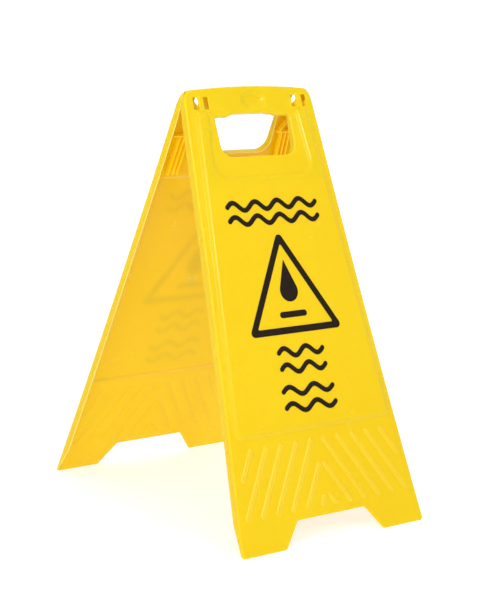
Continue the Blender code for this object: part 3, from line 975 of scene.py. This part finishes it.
def dress_cad_nodes(panel, hinge_material, pin_material, rib_material):
    """Gives the panel's CAD nodes that stay in view their looks."""
    for which in ("inner", "outer"):
        for kind in ("hook", "lug"):
            node = frame["nodes"][f"{panel}_{which}_hinge_{kind}"]
            dress_node(node, hinge_material, HINGE_BEVEL)
    dress_node(frame["nodes"][panel + "_hinge_pin"], pin_material, THIN_BEVEL)
    for side in ("left", "right"):
        node = frame["nodes"][f"{panel}_{side}_stiffening_ribs"]
        dress_node(node, rib_material, THIN_BEVEL)


def build_sign():
    shapes = print_shapes()
    large = (YELLOW, DEEP_YELLOW, WORN_YELLOW)
    panel_material = plastic("panel_plastic", *large, PANEL_ROUGHNESS, moulded=True)
    # Painted light: the hinge and ribs take the paler yellows and a painted glow
    small = (LIT_HINGE_YELLOW, LIT_DEEP_HINGE_YELLOW, WORN_YELLOW)
    hinge_material = plastic("hinge_plastic", *small, HINGE_ROUGHNESS, glow=PAINTED_CARRIED_GLOW)
    rib_material = plastic("rib_plastic", *small, RIB_ROUGHNESS, glow=PAINTED_CARRIED_GLOW)
    pin_material = plastic("pin_plastic", *large, PANEL_ROUGHNESS)
    ink = ink_material()
    axis = Matrix.Translation((0, 0, HINGE_HEIGHT))
    placings = {
        "front": axis @ Matrix.Rotation(-LEAN, 4, "X"),
        "rear": axis @ Matrix.Rotation(LEAN, 4, "X") @ Matrix.Rotation(math.pi, 4, "Z"),
    }
    mesh = moulding_mesh(shapes)
    ink_shape = ink_mesh(shapes)
    for panel, matrix in placings.items():
        moulding = add_object(panel + "_moulding", mesh, matrix, panel_material, panel)
        moulding.modifiers.new("flat_faces", "WEIGHTED_NORMAL").keep_sharp = True
        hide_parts(panel + "_panel", panel + "_handle")
        marks = add_object(panel + "_print", ink_shape, matrix, ink, panel)
        dress_cad_nodes(panel, hinge_material, pin_material, rib_material)


def view_axes():
    """The camera's right, up and forward."""
    forward = Vector(
        (
            math.sin(CAMERA_YAW) * math.cos(CAMERA_PITCH),
            math.cos(CAMERA_YAW) * math.cos(CAMERA_PITCH),
            -math.sin(CAMERA_PITCH),
        )
    )
    level = Vector((math.cos(CAMERA_YAW), -math.sin(CAMERA_YAW), 0))
    upright = level.cross(forward)
    right = level * math.cos(CAMERA_ROLL) + upright * math.sin(CAMERA_ROLL)
    up = upright * math.cos(CAMERA_ROLL) - level * math.sin(CAMERA_ROLL)
    return right, up, forward


def add_camera():
    data = bpy.data.cameras.new("camera")
    data.lens = CAMERA_LENS
    data.sensor_width = CAMERA_SENSOR
    camera = bpy.data.objects.new("camera", data)
    bpy.context.scene.collection.objects.link(camera)
    right, up, forward = view_axes()
    turned = Matrix((right, up, -forward)).transposed().to_4x4()
    camera.matrix_world = Matrix.Translation(CAMERA_PLACE) @ turned
    bpy.context.scene.camera = camera


def add_light(name, place, target, size, power):
    data = bpy.data.lights.new(name, "AREA")
    data.shape = "DISK"
    data.size = size
    data.energy = power
    light = bpy.data.objects.new(name, data)
    bpy.context.scene.collection.objects.link(light)
    light.location = place
    light.rotation_mode = "QUATERNION"
    light.rotation_quaternion = (Vector(target) - Vector(place)).to_track_quat("-Z", "Y")


def add_floor():
    """Studio paper: flat under the sign and swept up far behind it, square to the camera."""
    _, _, forward = view_axes()
    away = Vector((forward.x, forward.y, 0)).normalized()
    across = Vector((away.y, -away.x, 0))
    profile = [(FLOOR_FRONT, 0.0), (0.0, 0.0), (FLOOR_BACK, 0.0)]
    for step in range(1, SWEEP_STEPS + 1):
        angle = math.pi / 2 * step / SWEEP_STEPS
        rise = SWEEP_RADIUS - SWEEP_RADIUS * math.cos(angle)
        profile.append((FLOOR_BACK + SWEEP_RADIUS * math.sin(angle), rise))
    profile.append((FLOOR_BACK + SWEEP_RADIUS, BACKDROP_HEIGHT))
    bm = bmesh.new()
    rows = []
    for distance, height in profile:
        middle = away * distance + Vector((0, 0, height))
        sides = (-FLOOR_HALF_WIDTH, FLOOR_HALF_WIDTH)
        rows.append([bm.verts.new(middle + across * side) for side in sides])
    for first, second in zip(rows, rows[1:]):
        bm.faces.new((first[0], first[1], second[1], second[0]))
    mesh = bpy.data.meshes.new("studio_floor")
    bm.to_mesh(mesh)
    bm.free()
    mesh.shade_smooth()
    mesh.materials.append(floor_material())
    floor = bpy.data.objects.new("studio_floor", mesh)
    bpy.context.scene.collection.objects.link(floor)


def add_world():
    world = bpy.data.worlds.new("studio")
    world.use_nodes = True
    background = world.node_tree.nodes["Background"]
    background.inputs["Color"].default_value = WHITE
    background.inputs["Strength"].default_value = WORLD_LIGHT
    bpy.context.scene.world = world
    bpy.context.scene.view_settings.view_transform = "Standard"


build_sign()
add_floor()
add_world()
for light in LIGHTS:
    add_light(*light)
add_camera()
bpy.context.view_layer.update()
